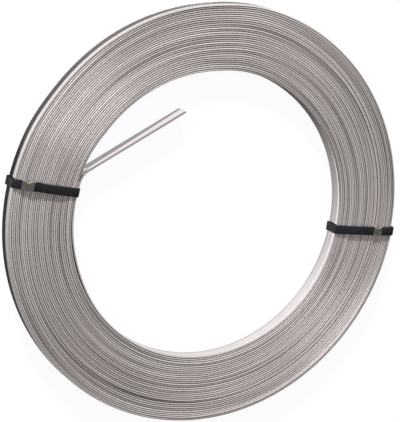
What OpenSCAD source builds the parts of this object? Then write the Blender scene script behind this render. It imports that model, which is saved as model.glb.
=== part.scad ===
// Coil of flat steel strip, wound on edge and held by two straps.
// The coil lies on its end: Z is the coil's axis, and Z = 0 is the floor under the straps.
// The inner end of the strip is bent away from the bore wall and stands free in the bore.

/* [Strip] */
// Width of the strip, which is the height of the coil
strip_w = 30; // [20:1:60]
// Thickness of the strip
strip_t = 3.5; // [2.5:0.5:6]
// Radius of the strip's rolled edges
edge_r = 1.5; // [0.4:0.1:1.8]
// Depth of the groove between two turns, below their rolled edges
groove_d = 1; // [0.2:0.1:3]

/* [Coil] */
// Diameter of the bore
bore_d = 530; // [400:2:800]
// Number of turns in the winding
turns = 33; // [24:1:45]
// Air between one turn and the next
turn_gap = 0.29; // [0.05:0.01:0.6]
// How far single turns stand out of the coil's end
turn_stray = 1.6; // [0:0.1:2]

/* [Inner end] */
// Angle from the left strap to where the inner end leaves the bore wall
tail_ahead = 4.5; // [4:0.1:30]
// Angle of the bend at its root
tail_turn = 45; // [32:1:70]
// Radius of that bend, along the middle of the strip
tail_bend_r = 32; // [15:1:80]
// Straight length of the inner end
tail_len = 206; // [60:1:240]
// How far the inner end has sprung up out of its turn
tail_lift = 0.4; // [0.2:0.1:2]
// How deep its root is set in the winding
tail_root = 1; // [0.5:0.1:2]

/* [Straps] */
// Width of both straps
strap_w = 16; // [10:0.5:22]
// Thickness of the strap
strap_t = 0.9; // [0.5:0.1:1.5]
// Clearance between a strap and the coil
strap_gap = 0.4; // [0.3:0.1:1]
// Inside radius of a strap's bends round the coil's edges
strap_bend_r = 1.8; // [1:0.1:3]
// Angle of the left strap round the coil's axis
strap_left_angle = 164.5; // [150:0.1:180]
// Angle of the right strap round the coil's axis
strap_right_angle = 348.4; // [330:0.1:359]
// Skew of the left strap from the coil's radius
skew_left = 1.2; // [0:0.1:4]
// Skew of the right strap from the coil's radius
skew_right = 3; // [0:0.1:4]
// How far the left strap bows off the coil's upper end
bow_left = 4.2; // [3.5:0.1:8]
// How far the right strap bows off the coil's upper end
bow_right = 3.6; // [3.5:0.1:8]

/* [Seals] */
// Thickness of a seal's sheet metal
seal_t = 0.8; // [0.4:0.1:1]
// Clearance between a seal and the strap inside it
seal_gap = 0.2; // [0.1:0.05:0.3]
// Slit between the two flaps under the strap
seal_slit = 2.5; // [1:0.5:6]
// Radius of a crimp's notch
crimp_r = 6; // [3:0.5:8]
// How far a notch reaches in from the middle of a seal's side
crimp_depth = 2.4; // [1:0.1:3]
// Length of the left seal, along the strap
seal_left_len = 23; // [16:1:30]
// Distance from the coil's outer wall to the middle of the left seal
seal_left_in = 26; // [24:1:44]
// Free strap end past the left seal, towards the bore
free_end_left = 13; // [5:1:40]
// Length of the right seal, along the strap
seal_right_len = 18; // [14:1:30]
// Distance from the coil's outer wall to the middle of the right seal
seal_right_in = 36; // [25:1:44]
// Free strap end past the right seal, towards the outer wall
free_end_right = 16; // [5:1:22]

/* [Hidden] */
$fn = 96;

steel_colour = [0.62, 0.59, 0.58];
strap_colour = [0.13, 0.13, 0.14];
seal_colour = [0.45, 0.42, 0.40];

// The winding
bore_r = bore_d / 2;
pitch = strip_t + turn_gap;
edge_round = min(edge_r, 0.45 * strip_t);
tail_from = strap_left_angle - tail_ahead;
coil_r = bore_r + turns * pitch - turn_gap;
coil_z = strap_t + strap_gap;
arc_steps = 3;

// The straps' middle line goes round the coil's section
strap_mid = strap_gap + strap_t / 2;
strap_low_z = strap_t / 2;
strap_high_z = coil_z + strip_w + turn_stray + strap_mid;
// Each strap and its seal stand at an angle round the coil and are skewed about the middle of the winding
left_place = [strap_left_angle, skew_left];
right_place = [strap_right_angle, skew_right];
mid_r = (bore_r + coil_r) / 2;
// Room for a strap's corners, which its skew and the bore's curve bring nearer to the coil's walls
skew = max(skew_left, skew_right);
half_depth = (coil_r - bore_r) / 2;
corner_side = strap_w / 2 * cos(skew) + half_depth * sin(skew);
bore_curve = corner_side * corner_side / bore_d;
skew_room = strap_w / 2 * sin(skew) + half_depth * (1 - cos(skew)) + bore_curve;
strap_in_r = bore_r - strap_mid - skew_room;
strap_out_r = coil_r + strap_mid + skew_room;
// The bow rises over these shares of the top run and is level between them
bow_rise_share = 0.32;
bow_fall_share = 0.28;
bow_r = 260;
bend_mid_r = strap_bend_r + strap_t / 2;
bend_steps = 6;

// Layers of strap and seal, as distances outwards from the strap's middle line
layer_low = -strap_t / 2;
layer_top = strap_t / 2;
lap_top = layer_top + strap_t;
seal_floor = layer_low - seal_gap;
seal_roof = lap_top + seal_gap;
seal_w = strap_w + 2 * (seal_gap + seal_t);
// The upper half of a strap's loop starts at this height
half_z = (strap_low_z + strap_high_z) / 2;

// How far turn i stands out of the coil's end, scattered evenly from 0 to turn_stray
function stray(i) = turn_stray * (0.5 + 0.5 * sin(i * i * 47 + i * 113));

function turn_r(i) = bore_r + i * pitch;

// Half of the strip's outline about one edge, with the edge's crest at height 0
function edge_points(steps) = concat(
    [for (k = [0:steps]) edge_round * [1 - cos(90 * k / steps), sin(90 * k / steps) - 1]],
    [for (k = [0:steps]) [strip_t, 0] + edge_round * [sin(90 * k / steps) - 1, cos(90 * k / steps) - 1]]
);

// Height of the grooves' floor, which lies behind every turn's rolled edge
function groove_z(side) = side * (strip_w / 2 - edge_round - groove_d) + (side < 0 ? turn_stray : 0);

// Crests of all turns from the bore outwards, with a sharp groove between neighbours
function crest_line(side) = [
    for (i = [0:turns - 1])
        each concat(
            [for (p = edge_points(arc_steps)) [turn_r(i) + p.x, stray(i) + side * (strip_w / 2 + p.y)]],
            i < turns - 1 ? [[turn_r(i + 1) - turn_gap / 2, groove_z(side)]] : []
        )
];

function reversed(list) = [for (i = [len(list) - 1:-1:0]) list[i]];

function strip_section() = concat(
    [for (p = edge_points(arc_steps)) [p.x, strip_w / 2 + p.y]],
    reversed([for (p = edge_points(arc_steps)) [p.x, -strip_w / 2 - p.y]])
);

function unit(v) = v / norm(v);

// Arc that rounds the corner b between the points a and c
function corner_arc(a, b, c, r) =
    let (
        u = unit(a - b),
        w = unit(c - b),
        half = acos(u * w) / 2,
        centre = b + unit(u + w) * r / sin(half),
        start = b + u * r / tan(half) - centre,
        stop = b + w * r / tan(half) - centre,
        first = atan2(start.y, start.x),
        sweep = (atan2(stop.y, stop.x) - first + 540) % 360 - 180
    )
    [
        for (k = [0:bend_steps])
            let (a = first + sweep * k / bend_steps)
            centre + r * [cos(a), sin(a)]
    ];

// Middle line of a strap in the plane of the coil's axis, anticlockwise from the lower bore corner
function strap_line(bow) =
    let (
        span = strap_out_r - strap_in_r,
        corners = [
            [strap_in_r, strap_low_z],
            [strap_out_r, strap_low_z],
            [strap_out_r, strap_high_z],
            [strap_out_r - bow_fall_share * span, strap_high_z + bow],
            [strap_in_r + bow_rise_share * span, strap_high_z + bow],
            [strap_in_r, strap_high_z]
        ],
        radii = [bend_mid_r, bend_mid_r, bend_mid_r, bow_r, bow_r, bend_mid_r],
        count = len(corners)
    )
    [
        for (i = [0:count - 1])
            let (before = corners[(i + count - 1) % count], after = corners[(i + 1) % count])
            each corner_arc(before, corners[i], after, radii[i])
    ];

// The same line moved outwards by a distance
function moved_out(line, d) =
    let (count = len(line))
    [
        for (i = [0:count - 1])
            let (along = unit(line[(i + 1) % count] - line[(i + count - 1) % count]))
            line[i] + d * [along.y, -along.x]
    ];

// Flat outline of a layer that lies between two distances from a strap's middle line
module layer(bow, from, to) {
    difference() {
        polygon(moved_out(strap_line(bow), to));
        polygon(moved_out(strap_line(bow), from));
    }
}

// The stretch of such a layer on the coil's upper end, between two radii
module top_layer(bow, from, to, r_from, r_to) {
    intersection() {
        layer(bow, from, to);
        translate([r_from, half_z]) square([r_to - r_from, strap_high_z]);
    }
}

// Moves a shape from the X axis to an angle and a skew
module placed(place) {
    rotate([0, 0, place[0]])
        translate([mid_r, 0, 0])
            rotate([0, 0, place[1]])
                translate([-mid_r, 0, 0])
                    children();
}

// Stands an outline up on the coil, and makes it as wide as stated
module across(place, width, shift = 0) {
    placed(place)
        translate([0, shift, 0])
            rotate([90, 0, 0])
                linear_extrude(width, center = true)
                    children();
}

// The inner end: a bend tangent to the innermost turn, then a straight run to a square cut
module inner_end() {
    root_r = bore_r + strip_t / 2 + tail_root;
    rotate([0, 0, tail_from])
        translate([root_r - tail_bend_r, 0, coil_z + strip_w / 2 + stray(0) + tail_lift]) {
            rotate([0, 0, -tail_turn])
                rotate_extrude(angle = tail_turn)
                    translate([tail_bend_r - strip_t / 2, 0])
                        polygon(strip_section());
            rotate([0, 0, -tail_turn])
                translate([tail_bend_r - strip_t / 2, 0, 0])
                    rotate([90, 0, 0])
                        linear_extrude(tail_len)
                            polygon(strip_section());
        }
}

module strip_coil() {
    color(steel_colour) {
        translate([0, 0, coil_z + strip_w / 2])
            rotate_extrude()
                polygon(concat(crest_line(1), reversed(crest_line(-1))));
        inner_end();
    }
}

// A strap goes once round the coil's section, and its end laps over it on the upper end
module strap(place, bow, lap_from, lap_to) {
    color(strap_colour)
        across(place, strap_w) {
            layer(bow, layer_low, layer_top);
            top_layer(bow, layer_top, lap_top, lap_from, lap_to);
        }
}

// A seal is a sleeve of sheet metal folded round both layers of strap and notched by the crimper
module seal(place, bow, r_mid, length) {
    r_from = r_mid - length / 2;
    r_to = r_mid + length / 2;
    side = (seal_w - seal_t) / 2;
    flap_w = (seal_w - seal_slit) / 2;
    flap_side = (seal_w - flap_w) / 2;
    crimp_side = seal_w / 2 + crimp_r - crimp_depth;
    color(seal_colour)
        difference() {
            union() {
                across(place, seal_w)
                    top_layer(bow, seal_roof, seal_roof + seal_t, r_from, r_to);
                for (s = [-1, 1]) {
                    across(place, seal_t, s * side)
                        top_layer(bow, seal_floor - seal_t, seal_roof + seal_t, r_from, r_to);
                    across(place, flap_w, s * flap_side)
                        top_layer(bow, seal_floor - seal_t, seal_floor, r_from, r_to);
                }
            }
            for (s = [-1, 1])
                placed(place)
                    translate([r_mid, s * crimp_side, half_z])
                        cylinder(h = strap_high_z, r = crimp_r);
        }
}

module strap_left() {
    mid = coil_r - seal_left_in;
    lap_from = mid - seal_left_len / 2 - free_end_left;
    strap(left_place, bow_left, lap_from, mid + seal_left_len / 2);
}

module strap_right() {
    mid = coil_r - seal_right_in;
    lap_to = mid + seal_right_len / 2 + free_end_right;
    strap(right_place, bow_right, mid - seal_right_len / 2, lap_to);
}

module seal_left() {
    seal(left_place, bow_left, coil_r - seal_left_in, seal_left_len);
}

module seal_right() {
    seal(right_place, bow_right, coil_r - seal_right_in, seal_right_len);
}

strip_coil();
strap_left();
strap_right();
seal_left();
seal_right();
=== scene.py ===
import math
from collections import namedtuple

import bpy
from mathutils import Matrix, Vector


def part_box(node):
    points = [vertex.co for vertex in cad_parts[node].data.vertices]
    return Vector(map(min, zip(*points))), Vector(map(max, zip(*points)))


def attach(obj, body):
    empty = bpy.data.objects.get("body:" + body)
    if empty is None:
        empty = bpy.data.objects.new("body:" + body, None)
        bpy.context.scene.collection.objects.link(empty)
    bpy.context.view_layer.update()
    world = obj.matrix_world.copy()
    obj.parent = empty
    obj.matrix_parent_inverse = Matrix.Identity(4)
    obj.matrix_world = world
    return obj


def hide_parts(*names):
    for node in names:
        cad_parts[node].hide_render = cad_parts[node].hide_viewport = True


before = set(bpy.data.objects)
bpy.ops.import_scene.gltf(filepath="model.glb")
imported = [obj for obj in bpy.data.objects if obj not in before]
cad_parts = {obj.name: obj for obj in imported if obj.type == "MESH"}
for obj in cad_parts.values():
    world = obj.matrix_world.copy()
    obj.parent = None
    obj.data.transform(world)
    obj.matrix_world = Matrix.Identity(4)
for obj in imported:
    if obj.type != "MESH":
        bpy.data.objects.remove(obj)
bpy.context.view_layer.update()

# Driving sizes of the strip and its winding, in metres
STRIP_W = 0.030
STRIP_T = 0.0035
EDGE_R = 0.0016
BORE_R = 0.265
# Angles round the coil's axis, in degrees, and the straps' skew from the radius
STRAP_LEFT = 164.5
STRAP_RIGHT = 348.4
SKEW_LEFT = 1.2
SKEW_RIGHT = 3.0
TAIL_FROM = 160.0
# Turns from the root of the inner end to the outer end, which lies under the right strap
TURNS = 32 + (STRAP_RIGHT - TAIL_FROM) / 360.0
TAIL_TURN = 45.0
TAIL_BEND_R = 0.032
TAIL_LEN = 0.206
# How far a turn may wander out of the coil's end, its swells in one turn, and how few of them stand proud
TURN_STRAY = 0.0024
STRAY_PACE = 2.3
STRAY_POWER = 2.2
# At a strap this share of the stray is left, and it grows to the whole between two angles from the strap
HELD_SHARE = 0.75
HELD_NEAR = 3.0
HELD_FAR = 9.0
# At the top this share of the stray is pressed flush, between these angles
PRESSED_SHARE = 0.65
PRESSED_RISE = (30.0, 60.0)
PRESSED_FALL = (110.0, 140.0)
# The coil isn't quite round: at the top its turns are drawn in by a depth, between these angles
FLAT_DEPTH = 0.0029
FLAT_RISE = (72.0, 90.0)
FLAT_FALL = (137.0, 152.0)
# Past the left strap the innermost turn springs into the bore, between these angles from its root
SPRING_DEPTH = 0.0012
SPRING = (12.0, 57.0)

coil_low, coil_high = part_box("strip_coil")
COIL_R = 0.5 * (coil_high[0] - coil_low[0])
COIL_FLOOR = coil_low[2]
COIL_TOP = COIL_FLOOR + STRIP_W
TURN_PITCH = (COIL_R - STRIP_T - BORE_R) / TURNS
# The turns lie against each other, so that no light of the floor comes up between them
TURN_GAP = 0.00003
TURN_T = TURN_PITCH - TURN_GAP
FIRST_TURN_R = BORE_R + STRIP_T / 2


# Small helpers

def polar(radius, degrees, z=0.0):
    """A point at an angle round the coil's axis."""
    turn = math.radians(degrees)
    return Vector((radius * math.cos(turn), radius * math.sin(turn), z))


def quarter(centre, radius, first, steps):
    """Points of a quarter of a circle, from a first angle on."""
    return [centre + polar(radius, first + 90.0 * k / steps) for k in range(steps + 1)]


def share_of(value, start, stop):
    """How far a value has come from a start to a stop, from 0 to 1."""
    return min(max((value - start) / (stop - start), 0.0), 1.0)


def ease(value, start, stop):
    """A smooth rise from 0 to 1 between two values."""
    share = share_of(value, start, stop)
    return share * share * (3 - 2 * share)


def deselect():
    """Leave nothing selected, so that an operator meets only what it is given."""
    if bpy.context.object and bpy.context.object.mode != "OBJECT":
        bpy.ops.object.mode_set(mode="OBJECT")
    bpy.ops.object.select_all(action="DESELECT")


def only(obj):
    """Select one object and make it active."""
    deselect()
    obj.select_set(True)
    bpy.context.view_layer.objects.active = obj


def linked(name, data):
    """A new object in the scene."""
    made = bpy.data.objects.new(name, data)
    bpy.context.scene.collection.objects.link(made)
    return made


def smooth(obj, degrees):
    """Shade smoothly across edges that are flatter than an angle."""
    only(obj)
    bpy.ops.object.shade_smooth_by_angle(angle=math.radians(degrees))


def outward(obj):
    """Merge doubles and turn all faces outwards."""
    only(obj)
    bpy.ops.object.mode_set(mode="EDIT")
    bpy.ops.mesh.select_all(action="SELECT")
    bpy.ops.mesh.remove_doubles(threshold=1e-6)
    bpy.ops.mesh.normals_make_consistent(inside=False)
    bpy.ops.object.mode_set(mode="OBJECT")


def poly_curve(name, points, closed):
    """A curve of straight pieces through points."""
    curve = bpy.data.curves.new(name, "CURVE")
    spline = curve.splines.new("POLY")
    spline.points.add(len(points) - 1)
    for target, point in zip(spline.points, points):
        target.co = (*point, 1.0)
    spline.use_cyclic_u = closed
    return linked(name, curve)


def swept(name, route, outline):
    """A solid drawn along a route, with the outline of its section kept upright."""
    profile = poly_curve(name + "_profile", outline, True)
    profile.data.dimensions = "2D"
    made = poly_curve(name, route, False)
    made.data.dimensions = "3D"
    made.data.twist_mode = "Z_UP"
    made.data.bevel_mode = "OBJECT"
    made.data.bevel_object = profile
    made.data.use_fill_caps = True
    only(made)
    bpy.ops.object.convert(target="MESH")
    bpy.data.objects.remove(profile)
    outward(made)
    return made


def take_finish(obj, material):
    """Give an object one material."""
    obj.data.materials.clear()
    obj.data.materials.append(material)


# Shader building

class Shader:
    """A node tree with short calls for adding and joining nodes."""

    def __init__(self, tree):
        self.tree = tree

    def node(self, kind, **settings):
        """A new node with its settings."""
        made = self.tree.nodes.new(kind)
        for name, value in settings.items():
            setattr(made, name, value)
        return made

    def join(self, out_socket, in_socket):
        """A link from one node's socket to another's."""
        self.tree.links.new(out_socket, in_socket)

    def math(self, operation, first, second=None, clamp=False):
        """What an operation makes of one or two values, which are sockets or numbers."""
        made = self.node("ShaderNodeMath", operation=operation, use_clamp=clamp)
        for socket, value in zip(made.inputs, (first, second)):
            if value is None:
                continue
            if isinstance(value, (int, float)):
                socket.default_value = value
            else:
                self.join(value, socket)
        return made.outputs[0]

    def rise(self, value, start, width):
        """From 0 to 1 over a width that begins at a start."""
        return self.math("DIVIDE", self.math("SUBTRACT", value, start), width, clamp=True)

    def fall(self, value, stop, width):
        """From 1 to 0 over a width that ends at a stop."""
        return self.math("DIVIDE", self.math("SUBTRACT", stop, value), width, clamp=True)

    def ramp(self, value, stops):
        """Colours that follow a value."""
        made = self.node("ShaderNodeValToRGB")
        while len(made.color_ramp.elements) < len(stops):
            made.color_ramp.elements.new(0.5)
        for element, (place, colour) in zip(made.color_ramp.elements, stops):
            element.position = place
            element.color = (*colour, 1.0)
        self.join(value, made.inputs[0])
        return made.outputs[0]

    def spread(self, value, low, high):
        """A value from 0 to 1, laid between a low and a high one."""
        made = self.node("ShaderNodeMapRange")
        made.inputs["To Min"].default_value = low
        made.inputs["To Max"].default_value = high
        self.join(value, made.inputs["Value"])
        return made.outputs[0]

    def mix(self, share, first, second, blend="MIX"):
        """Two colours mixed by a share."""
        made = self.node("ShaderNodeMix", data_type="RGBA", blend_type=blend)
        self.join(share, made.inputs[0])
        for socket, colour in ((made.inputs[6], first), (made.inputs[7], second)):
            if isinstance(colour, tuple):
                socket.default_value = (*colour, 1.0)
            else:
                self.join(colour, socket)
        return made.outputs[2]

    def clouds(self, place, scale, detail):
        """Soft noise from 0 to 1."""
        made = self.node("ShaderNodeTexNoise")
        made.inputs["Scale"].default_value = scale
        made.inputs["Detail"].default_value = detail
        self.join(place, made.inputs["Vector"])
        return made.outputs["Fac"]

    def bump(self, height, strength, distance):
        """The normal of a surface with fine relief."""
        made = self.node("ShaderNodeBump")
        made.inputs["Strength"].default_value = strength
        made.inputs["Distance"].default_value = distance
        self.join(height, made.inputs["Height"])
        return made.outputs[0]

    def upward(self):
        """How far a face looks up, from 1 to -1."""
        parts = self.node("ShaderNodeSeparateXYZ")
        self.join(self.node("ShaderNodeNewGeometry").outputs["Normal"], parts.inputs[0])
        return parts.outputs["Z"]

    def round_axis(self):
        """Radius, angle and height of a point about the coil's axis."""
        parts = self.node("ShaderNodeSeparateXYZ")
        self.join(self.node("ShaderNodeTexCoord").outputs["Object"], parts.inputs[0])
        x, y, z = parts.outputs
        squares = self.math("ADD", self.math("POWER", x, 2.0), self.math("POWER", y, 2.0))
        return self.math("SQRT", squares), self.math("ARCTAN2", y, x), z

    def turned(self, angle, start):
        """Share of a turn that an angle is past a start in degrees."""
        past = self.math("SUBTRACT", angle, math.radians(start))
        return self.math("FRACT", self.math("DIVIDE", past, math.tau))


def new_material(name):
    """A material, its node tree and its surface shader."""
    material = bpy.data.materials.new(name)
    material.use_nodes = True
    return material, Shader(material.node_tree), material.node_tree.nodes["Principled BSDF"]


def bare_material(name):
    """A material, its node tree and the socket that its surface is joined to."""
    material, shader, surface = new_material(name)
    shader.tree.nodes.remove(surface)
    return material, shader, shader.tree.nodes["Material Output"].inputs["Surface"]


def new_group(name, inputs, outputs):
    """A shader node group with plain value sockets."""
    tree = bpy.data.node_groups.new(name, "ShaderNodeTree")
    for label, value in inputs:
        tree.interface.new_socket(label, in_out="INPUT", socket_type="NodeSocketFloat").default_value = value
    for label in outputs:
        tree.interface.new_socket(label, in_out="OUTPUT", socket_type="NodeSocketFloat")
    shader = Shader(tree)
    return tree, shader, shader.node("NodeGroupInput"), shader.node("NodeGroupOutput")


def place_group(shader, tree, **values):
    """A group placed in a node tree with its own values."""
    made = shader.node("ShaderNodeGroup", node_tree=tree)
    for label, value in values.items():
        made.inputs[label].default_value = value
    return made


def rolling_marks_group():
    """Fine streaks that run round the coil, as rolling leaves along a strip."""
    tree, shader, given, put = new_group("rolling_marks", [("Across", 900.0), ("Along", 14.0)], ["Streaks"])
    radius, angle, height = shader.round_axis()
    spot = shader.node("ShaderNodeCombineXYZ")
    for wave, label in (("COSINE", "X"), ("SINE", "Y")):
        around = shader.math("MULTIPLY", shader.math(wave, angle), given.outputs["Along"])
        shader.join(around, spot.inputs[label])
    shader.join(shader.math("MULTIPLY", radius, given.outputs["Across"]), spot.inputs["Z"])
    streaks = shader.node("ShaderNodeTexNoise", noise_dimensions="4D")
    streaks.inputs["Scale"].default_value = 1.0
    streaks.inputs["Detail"].default_value = 3.0
    shader.join(spot.outputs[0], streaks.inputs["Vector"])
    shader.join(shader.math("MULTIPLY", height, given.outputs["Across"]), streaks.inputs["W"])
    shader.join(streaks.outputs["Fac"], put.inputs["Streaks"])
    return tree


def drawn_in_group():
    """How far the turns are drawn in at an angle round the coil."""
    tree, shader, _, put = new_group("drawn_in", [], ["Depth"])
    _, angle, _ = shader.round_axis()
    shares = []
    for (start, stop), low, high in ((FLAT_RISE, 0.0, 1.0), (FLAT_FALL, 1.0, 0.0)):
        share = shader.node("ShaderNodeMapRange", interpolation_type="SMOOTHSTEP")
        for label, value in (("From Min", math.radians(start)), ("From Max", math.radians(stop)),
                             ("To Min", low), ("To Max", high)):
            share.inputs[label].default_value = value
        shader.join(angle, share.inputs["Value"])
        shares.append(share.outputs[0])
    depth = shader.math("MULTIPLY", shader.math("MULTIPLY", shares[0], shares[1]), FLAT_DEPTH)
    shader.join(depth, put.inputs["Depth"])
    return tree


# Painted shade on the edges of the turns, in turns. The last turn's crest is darkened as painted shade, and
# the turns beside it are left out of the painted groove shade, which paints a brighter highlight on their
# shoulders; both lie ahead of the outer end, and the latter less so with each turn away from the rim
END_FADE = 0.04
LAST_SHADE_TO = 0.46
LAST_SHADE_FADE = 0.08
UNSHADED_TO = 0.35
UNSHADED_FADE = 0.12
UNSHADED_STEP = 0.3
# The first turn is darker in its later part, and the free inner end in the bore carries painted shade on its
# crest
FIRST_FROM = 0.66
FIRST_FADE = 0.08
INNER_END_OUT = -0.7
# What the painted shade, and the first turn's darkening, take from the tone
DARKENING = 0.3
# Where the coil is flat, the outer turns are darker by their own share, but for the few at the rim
FLAT_DARK_FROM = 20.0
FLAT_DARK_FADE = 8.0
FLAT_DARK_RIM = 3.0
FLAT_DARK = 0.14


def turn_tone_group():
    """A tone that follows the strip along its winding, with painted shade in it, and where its turns are left
    out of the painted groove shade.
    """
    tree, shader, given, put = new_group("turn_tone", [("Pace", 4.5), ("Start", 0.0)], ["Tone", "Unshaded"])
    radius, angle, _ = shader.round_axis()
    drawn = place_group(shader, DRAWN_IN).outputs["Depth"]
    from_first = shader.math("SUBTRACT", shader.math("ADD", radius, drawn), FIRST_TURN_R)
    out = shader.math("DIVIDE", from_first, TURN_PITCH)
    turned = shader.turned(angle, TAIL_FROM)
    whole = shader.math("ROUND", shader.math("MAXIMUM", shader.math("SUBTRACT", out, turned), 0.0))
    along = shader.math("ADD", whole, turned)
    noise = shader.node("ShaderNodeTexNoise", noise_dimensions="1D")
    noise.inputs["Scale"].default_value = 1.0
    noise.inputs["Detail"].default_value = 1.0
    paced = shader.math("MULTIPLY", along, given.outputs["Pace"])
    shader.join(shader.math("ADD", paced, given.outputs["Start"]), noise.inputs["W"])

    left = shader.math("SUBTRACT", TURNS, along)
    part = shader.math("FRACT", left)
    ahead = shader.rise(part, 0.0, END_FADE)
    last_shade = shader.math("MULTIPLY", ahead, shader.fall(part, LAST_SHADE_TO, LAST_SHADE_FADE))
    last = shader.math("MULTIPLY", shader.math("LESS_THAN", left, 1.0), last_shade)
    later = shader.rise(along, FIRST_FROM, FIRST_FADE)
    first = shader.math("MULTIPLY", shader.math("LESS_THAN", along, 1.0), later)
    inner_end = shader.math("LESS_THAN", out, INNER_END_OUT)
    # The last turn's crest and the free inner end's edge are darkened as painted shade, and the first turn's
    # later part is darker
    darkening = shader.math("MULTIPLY", shader.math("ADD", shader.math("ADD", last, inner_end), first), DARKENING)
    # The outer turns are darker where the coil is drawn in flat
    outer = shader.math("MULTIPLY", shader.rise(out, FLAT_DARK_FROM, FLAT_DARK_FADE),
                        shader.fall(out, TURNS, FLAT_DARK_RIM))
    flat_dark = shader.math("MULTIPLY", shader.math("MULTIPLY", drawn, outer), FLAT_DARK / FLAT_DEPTH)
    darker = shader.math("ADD", darkening, flat_dark)
    shader.join(shader.math("SUBTRACT", noise.outputs["Fac"], darker), put.inputs["Tone"])

    # Where this is 1 the painted groove shade is left off, which paints a brighter highlight on these turns'
    # shoulders
    unshaded_ahead = shader.math("MULTIPLY", ahead, shader.fall(part, UNSHADED_TO, UNSHADED_FADE))
    from_rim = shader.math("MULTIPLY", shader.math("FLOOR", left), UNSHADED_STEP)
    near_rim = shader.math("SUBTRACT", 1.0 + UNSHADED_STEP, from_rim, clamp=True)
    unshaded = shader.math("SUBTRACT", shader.math("MULTIPLY", unshaded_ahead, near_rim), last, clamp=True)
    shader.join(unshaded, put.inputs["Unshaded"])
    return tree


ROLLING_MARKS = rolling_marks_group()
DRAWN_IN = drawn_in_group()
TURN_TONE = turn_tone_group()


def strip_steel():
    """Cold rolled strip: bright flat sides, and slit edges that differ in shine from turn to turn, with
    painted shade on their sloping shoulders.
    """
    material, shader, surface = new_material("strip_steel")
    streaks = place_group(shader, ROLLING_MARKS, Across=900.0, Along=14.0).outputs["Streaks"]
    by_turn = place_group(shader, TURN_TONE, Pace=4.5, Start=23.7)
    steep = shader.math("ABSOLUTE", shader.upward())
    edge = shader.ramp(steep, [(0.15, (0, 0, 0)), (0.5, (1, 1, 1))])
    side = shader.ramp(streaks, [(0.3, (0.74, 0.70, 0.70)), (0.7, (0.84, 0.80, 0.80))])
    crest = shader.ramp(by_turn.outputs["Tone"],
                        [(0.2, (0.40, 0.37, 0.36)), (0.34, (0.61, 0.57, 0.56)),
                         (0.5, (0.74, 0.69, 0.68)), (0.68, (0.88, 0.84, 0.83))])
    # Painted shade: the sloping shoulders of the edges, down into the grooves between turns, are darkened
    painted_groove_shade = shader.ramp(steep, [(0.12, (1, 1, 1)), (0.3, (0.38, 0.35, 0.34)),
                                (0.72, (0.5, 0.48, 0.47)), (0.93, (1, 1, 1))])
    # The painted groove shade is left off where the turn tone's second output is 1, which paints a brighter
    # highlight there
    shaded_share = shader.math("SUBTRACT", 1.0, by_turn.outputs["Unshaded"])
    colour = shader.mix(shaded_share, shader.mix(edge, side, crest), painted_groove_shade, "MULTIPLY")
    shader.join(colour, surface.inputs["Base Color"])
    shader.join(shader.spread(edge, 0.14, 0.26), surface.inputs["Roughness"])
    shader.join(shader.spread(edge, 1.0, 0.8), surface.inputs["Metallic"])
    shader.join(shader.bump(streaks, 0.05, 0.0002), surface.inputs["Normal"])
    return material


def strap_plastic():
    """Dark plastic strapping with a fine embossed grid."""
    material, shader, surface = new_material("strap_plastic")
    place = shader.node("ShaderNodeTexCoord").outputs["Object"]
    grid = shader.node("ShaderNodeTexVoronoi", distance="CHEBYCHEV")
    grid.inputs["Scale"].default_value = 700.0
    grid.inputs["Randomness"].default_value = 0.0
    shader.join(place, grid.inputs["Vector"])
    clouds = shader.clouds(place, 60.0, 5.0)
    colour = shader.ramp(clouds, [(0.3, (0.004, 0.0045, 0.0055)), (0.75, (0.010, 0.0105, 0.0125))])
    shader.join(colour, surface.inputs["Base Color"])
    surface.inputs["Specular IOR Level"].default_value = 0.25
    shader.join(shader.spread(clouds, 0.45, 0.65), surface.inputs["Roughness"])
    shader.join(shader.bump(grid.outputs["Distance"], 0.35, 0.0003), surface.inputs["Normal"])
    return material


def seal_metal():
    """Dull zinc-coated sheet with a brown cast, with a painted highlight: lighter and smoother on folds that
    face partly upward and along the notches.
    """
    material, shader, surface = new_material("seal_metal")
    clouds = shader.clouds(shader.node("ShaderNodeTexCoord").outputs["Object"], 140.0, 6.0)
    darker = shader.ramp(clouds, [(0.3, (0.22, 0.195, 0.175)), (0.72, (0.36, 0.33, 0.30))])
    # Painted highlight on folds that face partly upward
    folded = shader.ramp(shader.upward(), [(0.25, (0, 0, 0)), (0.4, (1, 1, 1)),
                                           (0.86, (1, 1, 1)), (0.95, (0, 0, 0))])
    notch_highlight = shader.node("ShaderNodeAttribute", attribute_name="notch_highlight").outputs["Fac"]
    # Painted highlight along the notches too, from the sleeve's attribute
    painted_highlight = shader.math("MAXIMUM", folded, shader.ramp(notch_highlight, [(0.15, (0, 0, 0)), (0.55, (1, 1, 1))]))
    shader.join(shader.mix(painted_highlight, darker, (0.86, 0.82, 0.78)), surface.inputs["Base Color"])
    shader.join(shader.spread(painted_highlight, 0.45, 0.25), surface.inputs["Roughness"])
    surface.inputs["Metallic"].default_value = 1.0
    return material


# The strip, wound from its free inner end to the outer end under the right strap

def lattice(number):
    """A fixed scattered value from 0 to 1 for each whole number."""
    return math.modf(abs(math.sin(number * 12.9898 + 4.1) * 43758.5453))[0]


def scattered(place):
    """Smooth values from 0 to 1 that are unlike one another a step apart."""
    low = math.floor(place)
    share = ease(place, low, low + 1)
    return lattice(low) * (1 - share) + lattice(low + 1) * share


def wander(degrees):
    """Height of a turn above the coil's floor: most lie flush, some stand proud between the straps."""
    place = (TAIL_FROM + degrees) % 360.0
    apart = min(abs((place - strap + 180.0) % 360.0 - 180.0) for strap in (STRAP_LEFT, STRAP_RIGHT))
    free = HELD_SHARE + (1 - HELD_SHARE) * share_of(apart, HELD_NEAR, HELD_FAR)
    pressed = PRESSED_SHARE * ease(place, *PRESSED_RISE) * (1 - ease(place, *PRESSED_FALL))
    return TURN_STRAY * scattered(STRAY_PACE * degrees / 360.0) ** STRAY_POWER * free * (1 - pressed)


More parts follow.
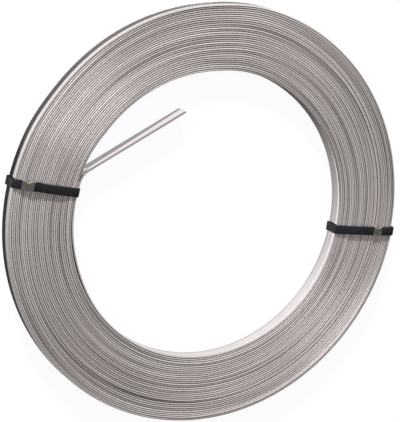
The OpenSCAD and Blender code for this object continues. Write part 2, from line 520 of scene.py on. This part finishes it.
def spring_in(degrees):
    """How far the innermost turn has sprung into the bore, past the left strap."""
    return SPRING_DEPTH * math.sin(math.pi * share_of(degrees, *SPRING)) ** 2


def drawn_in(degrees):
    """How far the turns are drawn in at an angle round the coil."""
    place = degrees % 360.0
    return FLAT_DEPTH * ease(place, *FLAT_RISE) * (1 - ease(place, *FLAT_FALL))


def strip_route():
    """Middle line of the strip: straight inner end, bend, then the spiral."""
    steps_per_turn = 150
    bend_steps = 14
    straight_steps = 8
    middle = COIL_FLOOR + STRIP_W / 2
    bend_centre = polar(FIRST_TURN_R - TAIL_BEND_R, TAIL_FROM, middle + wander(0.0))
    heading = TAIL_FROM - TAIL_TURN - 90
    bend_end = bend_centre + polar(TAIL_BEND_R, TAIL_FROM - TAIL_TURN)
    route = []
    for k in range(straight_steps, 0, -1):
        route.append(bend_end + polar(TAIL_LEN * k / straight_steps, heading))
    for k in range(bend_steps, 0, -1):
        route.append(bend_centre + polar(TAIL_BEND_R, TAIL_FROM - TAIL_TURN * k / bend_steps))
    last = TURNS * 360.0
    count = round(TURNS * steps_per_turn)
    for k in range(count + 1):
        degrees = last * k / count
        place = TAIL_FROM + degrees
        radius = FIRST_TURN_R + TURN_PITCH * degrees / 360.0 - spring_in(degrees) - drawn_in(place)
        route.append(polar(radius, place, middle + wander(degrees)))
    return route


def strip_profile():
    """Outline of the strip's section, with rolled edges."""
    steps = 3
    points = []
    for side_x, side_y, first in ((1, 1, 0), (-1, 1, 90), (-1, -1, 180), (1, -1, 270)):
        centre = Vector((side_x * (TURN_T / 2 - EDGE_R), side_y * (STRIP_W / 2 - EDGE_R), 0))
        points += quarter(centre, EDGE_R, first, steps)
    return points


def wound_strip():
    """The whole strip, from its inner to its outer end."""
    winding = swept("wound_strip", strip_route(), strip_profile())
    smooth(winding, 40)
    return winding


# The straps, and the seals folded round both layers of each

STRAP_W = 0.016
STRAP_T = 0.0009
STRAP_GAP = 0.0004
STRAP_STRAY = 0.0016
STRAP_BEND_R = 0.0018 + STRAP_T / 2
STRAP_ROUND = 0.0003
LAP_GAP = 0.00003
# The bow of a strap's top run: its bend radius, and the shares of the run over which it rises and falls
BOW_R = 0.260
BOW_RISE = 0.32
BOW_FALL = 0.28
SEAL_T = 0.0008
SEAL_GAP = 0.0002
SEAL_HALF_W = STRAP_W / 2 + SEAL_GAP + SEAL_T
SEAL_LOW = -STRAP_T / 2 - SEAL_GAP - SEAL_T
SEAL_HIGH = 1.5 * STRAP_T + SEAL_GAP + SEAL_T
SEAL_SLIT = 0.0025
SEAL_FOLD_R = 0.0015
SEAL_HEM_R = 0.0008
NOTCH_R = 0.006
NOTCH_DEPTH = 0.0024
NOTCH_SIDE = SEAL_HALF_W + NOTCH_R - NOTCH_DEPTH
# The crimper has pressed the sheet down along a notch
LIP_W = 0.0022
LIP_DROP = 0.0006
MID_R = 0.5 * (BORE_R + COIL_R)

# A strap's place and skew, the height of its bow, its seal's middle and length along the radius, the free
# ends of its lap past the seal towards the bore and the rim, and how far the first of them lies askew
Strap = namedtuple("Strap", "angle skew bow seal seal_len free_in free_out askew")
LEFT = Strap(angle=STRAP_LEFT, skew=SKEW_LEFT, bow=0.0042, seal=COIL_R - 0.026, seal_len=0.023,
             free_in=0.013, free_out=0.0, askew=0.0016)
RIGHT = Strap(angle=STRAP_RIGHT, skew=SKEW_RIGHT, bow=0.0036, seal=COIL_R - 0.036, seal_len=0.018,
              free_in=0.0, free_out=0.016, askew=0.0)


def skew_room():
    """Distance that a strap keeps from the walls, so that its corners clear them when it is skewed."""
    skew = math.radians(max(SKEW_LEFT, SKEW_RIGHT))
    half_depth = 0.5 * (COIL_R - BORE_R)
    corner_side = STRAP_W / 2 * math.cos(skew) + half_depth * math.sin(skew)
    bore_curve = corner_side ** 2 / (2 * BORE_R)
    return STRAP_W / 2 * math.sin(skew) + half_depth * (1 - math.cos(skew)) + bore_curve


def placed(strap, radius, side, z):
    """A point of a strap, from its place along the strap, its step to the side and its height."""
    along = strap.angle + strap.skew
    return polar(MID_R, strap.angle) + polar(radius - MID_R, along, z) + polar(side, along + 90)


def corner_arc(before, corner, after, radius):
    """Points that round a corner of a line."""
    steps = 6
    back = (before - corner).normalized()
    on = (after - corner).normalized()
    half = 0.5 * math.acos(back.dot(on))
    centre = corner + (back + on).normalized() * (radius / math.sin(half))
    start = corner + back * (radius / math.tan(half)) - centre
    stop = corner + on * (radius / math.tan(half)) - centre
    first = math.atan2(start.y, start.x)
    sweep = (math.atan2(stop.y, stop.x) - first + 3 * math.pi) % math.tau - math.pi
    return [centre + radius * Vector((math.cos(turn), math.sin(turn)))
            for turn in (first + sweep * k / steps for k in range(steps + 1))]


def strap_line(strap):
    """Middle line of a strap's loop, as radii and heights, from the lower bore corner over the outer wall."""
    away = STRAP_GAP + STRAP_T / 2
    inside = BORE_R - away - skew_room()
    outside = COIL_R + away + skew_room()
    span = outside - inside
    low = STRAP_T / 2
    high = COIL_TOP + STRAP_STRAY + away
    bowed = high + strap.bow
    corners = [(inside, low), (outside, low), (outside, high), (outside - BOW_FALL * span, bowed),
               (inside + BOW_RISE * span, bowed), (inside, high)]
    corners = [Vector(corner) for corner in corners]
    radii = [STRAP_BEND_R, STRAP_BEND_R, STRAP_BEND_R, BOW_R, BOW_R, STRAP_BEND_R]
    line = []
    for k, corner in enumerate(corners):
        line += corner_arc(corners[k - 1], corner, corners[(k + 1) % len(corners)], radii[k])
    return line


def height_on(line, radius):
    """Height of a strap's middle line on the coil's upper end."""
    for one, two in zip(line, line[1:]):
        if min(one.y, two.y) > COIL_TOP and two.x <= radius <= one.x:
            return one.y + (two.y - one.y) * (one.x - radius) / (one.x - two.x)
    return line[-1].y


def ribbon(name, points, strap, closed):
    """Strapping along a line: its edge is drawn out sideways, made solid and rounded."""
    count = len(points)
    mesh = bpy.data.meshes.new(name)
    mesh.from_pydata([placed(strap, radius, side - STRAP_W / 2, z) for radius, side, z in points],
                     [(k, (k + 1) % count) for k in range(count if closed else count - 1)], [])
    made = linked(name, mesh)
    only(made)
    bpy.ops.object.mode_set(mode="EDIT")
    bpy.ops.mesh.select_all(action="SELECT")
    sideways = polar(STRAP_W, strap.angle + strap.skew + 90)
    bpy.ops.mesh.extrude_edges_move(TRANSFORM_OT_translate={"value": sideways})
    bpy.ops.object.mode_set(mode="OBJECT")
    outward(made)
    sheet = made.modifiers.new("sheet", "SOLIDIFY")
    sheet.thickness = STRAP_T
    sheet.offset = 0
    sheet.use_even_offset = True
    rounded = made.modifiers.new("rounded", "BEVEL")
    rounded.width = STRAP_ROUND
    rounded.segments = 2
    rounded.limit_method = "ANGLE"
    rounded.angle_limit = math.radians(60)
    only(made)
    for modifier in ("sheet", "rounded"):
        bpy.ops.object.modifier_apply(modifier=modifier)
    outward(made)
    return made


def lapped_strap(name, strap):
    """A strap's loop with its end lapped on top, whose free part may lie askew."""
    steps = 16
    line = strap_line(strap)
    loop = ribbon(name, [(point.x, 0.0, point.y) for point in line], strap, True)
    seal_in = strap.seal - strap.seal_len / 2
    lap_in = seal_in - strap.free_in
    lap_out = strap.seal + strap.seal_len / 2 + strap.free_out
    points = []
    for k in range(steps + 1):
        radius = lap_in + (lap_out - lap_in) * k / steps
        side = -strap.askew * share_of(radius, seal_in, lap_in) ** 0.5 if strap.askew else 0.0
        points.append((radius, side, height_on(line, radius) + STRAP_T + LAP_GAP))
    lap = ribbon(name + "_lap", points, strap, False)
    only(loop)
    lap.select_set(True)
    bpy.ops.object.join()
    smooth(loop, 40)
    return loop


def mirrored(points):
    """The same points on the other side, in reverse."""
    return [Vector((-point.x, point.y, 0)) for point in reversed(points)]


def seal_profile():
    """Section of a seal: a roof with rounded folds, and two flaps under the strap with a slit between."""
    hem_steps = 3
    fold_steps = 5
    roof_steps = 14
    slit = SEAL_SLIT / 2
    flat = SEAL_HALF_W - SEAL_FOLD_R
    hem_centre = Vector((SEAL_HALF_W - SEAL_HEM_R, SEAL_LOW + SEAL_HEM_R, 0))
    fold_centre = Vector((flat, SEAL_HIGH - SEAL_FOLD_R, 0))
    right = [Vector((slit, SEAL_LOW, 0))]
    right += quarter(hem_centre, SEAL_HEM_R, -90, hem_steps)
    right += quarter(fold_centre, SEAL_FOLD_R, 0, fold_steps)
    roof = [Vector((flat * (1 - 2 * k / roof_steps), SEAL_HIGH, 0)) for k in range(1, roof_steps)]
    inner = SEAL_HALF_W - SEAL_T
    flap_top = SEAL_LOW + SEAL_T
    ceiling = SEAL_HIGH - SEAL_T
    bend = SEAL_FOLD_R - SEAL_T
    under = [Vector((-slit, flap_top, 0)), Vector((-inner, flap_top, 0)),
             Vector((-inner, ceiling - bend, 0)), Vector((-inner + bend, ceiling, 0))]
    return right + roof + mirrored(right) + under + mirrored(under)


def notch(sleeve, strap, side):
    """Cut a crimp's notch from one side of a seal."""
    deselect()
    bpy.ops.mesh.primitive_cylinder_add(vertices=64, radius=NOTCH_R, depth=STRIP_W,
                                        location=placed(strap, strap.seal, side, COIL_TOP))
    cutter = bpy.context.object
    cut = sleeve.modifiers.new("notch", "BOOLEAN")
    cut.operation = "DIFFERENCE"
    cut.object = cutter
    only(sleeve)
    bpy.ops.object.modifier_apply(modifier=cut.name)
    bpy.data.objects.remove(cutter)


def crimped_seal(name, strap):
    """A sleeve swept along its strap, notched on both sides, with a painted highlight marked along the
    notches.
    """
    steps = 26
    line = strap_line(strap)
    route = []
    for k in range(steps + 1):
        radius = strap.seal + strap.seal_len * (k / steps - 0.5)
        route.append(placed(strap, radius, 0.0, height_on(line, radius)))
    sleeve = swept(name, route, seal_profile())
    for side in (-NOTCH_SIDE, NOTCH_SIDE):
        notch(sleeve, strap, side)
    centre = placed(strap, strap.seal, 0.0, 0.0)
    lengthways = polar(1.0, strap.angle + strap.skew)
    sideways = polar(1.0, strap.angle + strap.skew + 90)
    # Marks where the painted highlight goes along the notches, and how far the lips are pressed down
    notch_highlight = sleeve.data.attributes.new("notch_highlight", "FLOAT", "POINT")
    for vertex in sleeve.data.vertices:
        along = (vertex.co - centre).dot(lengthways)
        side = abs((vertex.co - centre).dot(sideways))
        past_notch = max(0.0, math.hypot(along, side - NOTCH_SIDE) - NOTCH_R)
        near = max(0.0, 1.0 - past_notch / LIP_W)
        notch_highlight.data[vertex.index].value = near
        if vertex.co.z - height_on(line, strap.seal + along) > SEAL_HIGH - SEAL_T / 2:
            vertex.co.z -= LIP_DROP * near ** 2
    smooth(sleeve, 35)
    return sleeve


def add_piece(made, node, material):
    """Give a piece its finish and let it stand for its node."""
    take_finish(made, material)
    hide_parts(node)
    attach(made, "root")


strapping = strap_plastic()
sealing = seal_metal()
add_piece(wound_strip(), "strip_coil", strip_steel())
add_piece(lapped_strap("strap_left_band", LEFT), "strap_left", strapping)
add_piece(lapped_strap("strap_right_band", RIGHT), "strap_right", strapping)
add_piece(crimped_seal("seal_left_sleeve", LEFT), "seal_left", sealing)
add_piece(crimped_seal("seal_right_sleeve", RIGHT), "seal_right", sealing)


# Floor, cards, light and camera

FLOOR_SIZE = 30.0
FLOOR_DROP = 0.0002
FLOOR_TONE = (0.72, 0.72, 0.72, 1)
# Shares of plain white in the floor that the camera sees and that reflections meet
SEEN_WHITE = 0.95
MIRRORED_WHITE = 0.45
# Tints of the cards' and the room's light
CARD_TINT = Vector((1.0, 0.975, 0.975))
ROOM_TINT = Vector((1.0, 0.965, 0.955))
# Levels of the room's light, from the side away from its azimuth to the side towards it
ROOM_AZIMUTH = 82.0
ROOM_LEVELS = [(-1.0, 0.10), (-0.45, 0.19), (0.0, 0.38), (0.5, 0.78), (1.0, 0.85)]

# Ring cards on the floor, seen only in the walls, whose glow paints the walls' reflected light and shade: how
# far they reach from the rim inwards and outwards
WALL_CARD = (0.005, 0.020)
BORE_CARD = (0.020, 0.003)
# Each has an inner and an outer ring of painted reflection levels by angle, which meet at a crescent of this
# depth
WALL_START = 45.0
WALL_INNER = [(60, 0.32), (90, 0.27), (120, 0.25), (135, 0.18), (150, 0.12), (158, 0.05), (190, 0.045),
              (205, 0.06), (225, 0.28)]
WALL_OUTER = [(60, 1.0), (120, 1.15), (150, 1.05), (160, 0.85), (175, 0.6), (190, 0.42), (205, 0.4),
              (240, 0.8)]
WALL_CRESCENT = 0.0086
BORE_START = 180.0
BORE_SHADE = [(380, 0.29), (395, 0.13), (410, 0.1), (430, 0.1), (460, 0.95)]
BORE_INNER = [(240, 0.88), (260, 0.91), (290, 1.08), (320, 1.05), (335, 0.87), (365, 0.465)] + BORE_SHADE
BORE_OUTER = [(240, 0.75), (260, 0.75), (290, 0.8), (320, 0.85), (335, 0.62), (365, 0.42)] + BORE_SHADE
BORE_CRESCENT = -0.0022
CRESCENT_EDGE = 0.0006
# The wall's crescent is deepest on the camera's side, and the bore's on the far side
CAMERA_AZIMUTH = 147.5

# Cards beside the inner end, seen only in its side, which paint a band of reflected shade and one of
# reflected light on it: a direction across them, and their sides' distances at its root and its tip
TAIL_CARD_WAY = 85.0
TAIL_CARD_LIFT = 0.0003
TAIL_SHADE = ((0.0, 0.014), (0.0, 0.004))
TAIL_SHADE_TONE = (0.40, 0.40, 0.43)
TAIL_LIGHT = ((0.014, 0.030), (0.004, 0.030))
TAIL_LIGHT_TONE = (1.08, 1.04, 1.06)

# Camera fitted to the rims of the coil: direction from the coil, distance and focal length
TO_CAMERA = Vector((-0.4142, 0.2642, 0.8710)).normalized()
CAMERA_DISTANCE = 9.65 * COIL_R
FOCAL_PIXELS = 2083.0
IMAGE_H = 422
SENSOR = 36.0
# The coil's middle lies this many pixels right of and below the middle of the picture
OFF_RIGHT = 9.8
OFF_BELOW = 4.8


def floor_paper():
    """White for the camera and in reflections, with the coil's shadow kept."""
    material, shader, out = bare_material("floor_paper")
    paper = shader.node("ShaderNodeBsdfDiffuse")
    paper.inputs["Color"].default_value = FLOOR_TONE
    white = shader.node("ShaderNodeEmission")
    white.inputs["Strength"].default_value = 1.0
    path = shader.node("ShaderNodeLightPath")
    seen = shader.math("MULTIPLY", path.outputs["Is Camera Ray"], SEEN_WHITE)
    bounced = shader.math("ADD", path.outputs["Is Glossy Ray"], path.outputs["Is Transmission Ray"])
    share = shader.math("ADD", seen, shader.math("MULTIPLY", bounced, MIRRORED_WHITE), clamp=True)
    mix = shader.node("ShaderNodeMixShader")
    shader.join(share, mix.inputs["Fac"])
    shader.join(paper.outputs[0], mix.inputs[1])
    shader.join(white.outputs[0], mix.inputs[2])
    shader.join(mix.outputs[0], out)
    return material


def floor():
    """A wide plain floor."""
    deselect()
    bpy.ops.mesh.primitive_plane_add(size=FLOOR_SIZE, location=(0, 0, -FLOOR_DROP))
    made = bpy.context.object
    made.name = "floor"
    take_finish(made, floor_paper())


def painted_reflection_paper(name, colour):
    """Glowing paper of one tone, for a painted reflection."""
    material, _, surface = new_material(name)
    surface.inputs["Base Color"].default_value = (0, 0, 0, 1)
    surface.inputs["Roughness"].default_value = 1.0
    surface.inputs["Emission Color"].default_value = (*colour, 1)
    surface.inputs["Emission Strength"].default_value = 1.0
    return material


def painted_reflection_rings(name, start, inner_stops, outer_stops, rim, depth, way):
    """Glowing paper in two rings of tone by angle, which meet at a crescent along the rim: a painted
    reflection for a wall.
    """
    material, shader, out = bare_material(name)
    radius, angle, _ = shader.round_axis()
    drawn = place_group(shader, DRAWN_IN).outputs["Depth"]
    facing = shader.math("COSINE", shader.math("SUBTRACT", angle, math.radians(way)))
    crescent = shader.math("MULTIPLY", shader.math("MAXIMUM", facing, 0.0), depth)
    past = shader.math("SUBTRACT", shader.math("ADD", radius, drawn), shader.math("ADD", crescent, rim))
    share = shader.math("ADD", shader.math("DIVIDE", past, CRESCENT_EDGE), 0.5, clamp=True)
    turned = shader.turned(angle, start)
    rings = []
    for stops in (inner_stops, outer_stops):
        tones = [(((degrees - start) % 360.0) / 360.0, level * CARD_TINT) for degrees, level in stops]
        rings.append(shader.ramp(turned, tones))
    glow = shader.node("ShaderNodeEmission")
    shader.join(shader.mix(share, *rings), glow.inputs["Color"])
    shader.join(glow.outputs[0], out)
    return material


def ring_card(name, rim, reach):
    """A flat ring on the floor along a rim."""
    inner = rim - reach[0]
    outer = rim + reach[1]
    deselect()
    bpy.ops.mesh.primitive_circle_add(vertices=160, radius=outer, location=(0, 0, 0))
    made = bpy.context.object
    made.name = name
    bpy.ops.object.mode_set(mode="EDIT")
    bpy.ops.mesh.select_all(action="SELECT")
    bpy.ops.mesh.extrude_edges_move()
    bpy.ops.transform.resize(value=(inner / outer, inner / outer, 1))
    bpy.ops.object.mode_set(mode="OBJECT")
    return made


def painted_tail_reflection(name, at_root, at_tip):
    """A strip of paper on the floor beside the free inner end, for a painted reflection."""
    side = TAIL_FROM - TAIL_TURN
    root = polar(FIRST_TURN_R - TAIL_BEND_R, TAIL_FROM) + polar(TAIL_BEND_R + STRIP_T / 2, side)
    tip = root + polar(TAIL_LEN, side - 90)
    away = polar(1.0, TAIL_CARD_WAY)
    corners = [root + away * at_root[0], tip + away * at_tip[0],
               tip + away * at_tip[1], root + away * at_root[1]]
    mesh = bpy.data.meshes.new(name)
    mesh.from_pydata([(corner.x, corner.y, TAIL_CARD_LIFT) for corner in corners], [], [(0, 1, 2, 3)])
    return linked(name, mesh)


def only_mirrored(card, material):
    """Stage a card that the camera and the light do not meet."""
    take_finish(card, material)
    card.visible_camera = False
    card.visible_diffuse = False
    card.visible_transmission = False
    card.visible_shadow = False


def room_light():
    """Soft light that grows towards one side of the room, with white behind for the camera."""
    world = bpy.data.worlds.new("room")
    world.use_nodes = True
    bpy.context.scene.world = world
    shader = Shader(world.node_tree)
    room = world.node_tree.nodes["Background"]
    way = shader.node("ShaderNodeVectorMath", operation="DOT_PRODUCT")
    way.inputs[1].default_value = polar(1.0, ROOM_AZIMUTH)
    shader.join(shader.node("ShaderNodeTexCoord").outputs["Generated"], way.inputs[0])
    share = shader.math("ADD", shader.math("MULTIPLY", way.outputs["Value"], 0.5), 0.5)
    colour = shader.ramp(share, [(0.5 + 0.5 * place, level * ROOM_TINT) for place, level in ROOM_LEVELS])
    shader.join(colour, room.inputs["Color"])
    white = shader.node("ShaderNodeBackground")
    path = shader.node("ShaderNodeLightPath")
    mix = shader.node("ShaderNodeMixShader")
    shader.join(path.outputs["Is Camera Ray"], mix.inputs["Fac"])
    shader.join(room.outputs[0], mix.inputs[1])
    shader.join(white.outputs[0], mix.inputs[2])
    shader.join(mix.outputs[0], world.node_tree.nodes["World Output"].inputs["Surface"])


def soft_lamp(name, azimuth, elevation, distance, size, power, in_mirrors):
    """A square lamp aimed at the middle of the coil, which may be kept out of reflections."""
    lamp = bpy.data.lights.new(name, "AREA")
    lamp.shape = "SQUARE"
    lamp.size = size
    lamp.energy = power
    made = linked(name, lamp)
    flat = distance * math.cos(math.radians(elevation))
    made.location = polar(flat, azimuth, distance * math.sin(math.radians(elevation)))
    made.visible_glossy = in_mirrors
    made.rotation_euler = (-made.location).to_track_quat("-Z", "Y").to_euler()


def camera():
    """The camera of the reference view."""
    lens = bpy.data.cameras.new("camera")
    lens.sensor_fit = "AUTO"
    lens.sensor_width = SENSOR
    lens.lens = SENSOR * FOCAL_PIXELS / IMAGE_H
    lens.clip_end = 100
    made = linked("camera", lens)
    right = (-TO_CAMERA).cross(Vector((0, 1, 0))).normalized()
    up = right.cross(-TO_CAMERA)
    pixel = CAMERA_DISTANCE / FOCAL_PIXELS
    aim = Vector((0, 0, COIL_TOP)) - right * OFF_RIGHT * pixel + up * OFF_BELOW * pixel
    turn = Matrix((right, up, TO_CAMERA)).transposed()
    made.matrix_world = Matrix.Translation(aim + TO_CAMERA * CAMERA_DISTANCE) @ turn.to_4x4()
    bpy.context.scene.camera = made


floor()
# Painted reflections: glowing rings seen only in the outer wall and in the bore's wall
only_mirrored(ring_card("painted_wall_reflection", COIL_R, WALL_CARD),
              painted_reflection_rings("painted_reflection_wall", WALL_START, WALL_INNER, WALL_OUTER, COIL_R, WALL_CRESCENT,
                         CAMERA_AZIMUTH))
only_mirrored(ring_card("painted_bore_reflection", BORE_R, BORE_CARD),
              painted_reflection_rings("painted_reflection_bore", BORE_START, BORE_INNER, BORE_OUTER, BORE_R, BORE_CRESCENT,
                         CAMERA_AZIMUTH + 180.0))
# Painted reflections on the inner end's side: a grey band of shade and a bright band of light
only_mirrored(painted_tail_reflection("painted_tail_reflection", *TAIL_SHADE), painted_reflection_paper("painted_reflection_grey", TAIL_SHADE_TONE))
only_mirrored(painted_tail_reflection("painted_tail_light", *TAIL_LIGHT), painted_reflection_paper("painted_reflection_white", TAIL_LIGHT_TONE))
room_light()
soft_lamp("key", azimuth=102, elevation=23, distance=10.4, size=1.2, power=3600, in_mirrors=False)
soft_lamp("glow", azimuth=126, elevation=52, distance=18.0, size=9.0, power=558, in_mirrors=True)
camera()

bpy.context.scene.view_settings.view_transform = "Standard"
